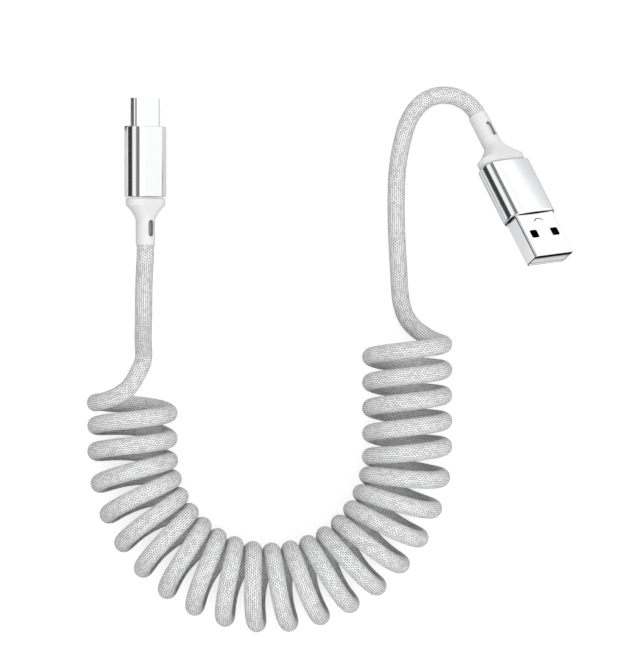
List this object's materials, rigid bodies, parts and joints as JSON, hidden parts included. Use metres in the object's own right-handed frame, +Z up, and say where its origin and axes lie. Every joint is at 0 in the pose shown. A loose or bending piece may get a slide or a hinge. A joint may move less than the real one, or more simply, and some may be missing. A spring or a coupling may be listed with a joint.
{
  "type": "coiled usb-c charging cable",
  "caption": "Braided cord wound into a spring and bent into a U, with a metal USB-C plug on one end and a metal USB-A plug on the other, for charging and data.",
  "frame": {"origin": "on the floor, under the middle of the box round the two plugs (the cord and its spring are left out of that box)", "axes": "+Z up from the floor the cable lies on, +Y the way the USB-C plug points, +X from the USB-C plug towards the USB-A plug"},
  "size_m": [0.1138, 0.1285, 0.0218],
  "materials": {
    "plug_metal": "polished silver metal, near mirror",
    "white_plastic": "white moulded strain relief, satin",
    "black_plastic": "black moulded insulator",
    "grey_plastic": "light grey moulded tongue",
    "contact_gilt": "gilt contact strip",
    "cord_braid": "silver grey and white nylon braid"
  },
  "bodies": {
    "root": {"usb_c_shell": "plug_metal", "usb_c_insulator": "black_plastic", "usb_c_housing": "plug_metal", "usb_c_relief": "white_plastic", "usb_c_lead": "cord_braid", "spring_coil": "cord_braid", "usb_a_lead": "cord_braid", "usb_a_relief": "white_plastic", "usb_a_housing": "plug_metal", "usb_a_shell": "plug_metal", "usb_a_tongue": "grey_plastic", "usb_a_contact_1": "contact_gilt", "usb_a_contact_2": "contact_gilt", "usb_a_contact_3": "contact_gilt", "usb_a_contact_4": "contact_gilt"}
  },
  "joints": []
}
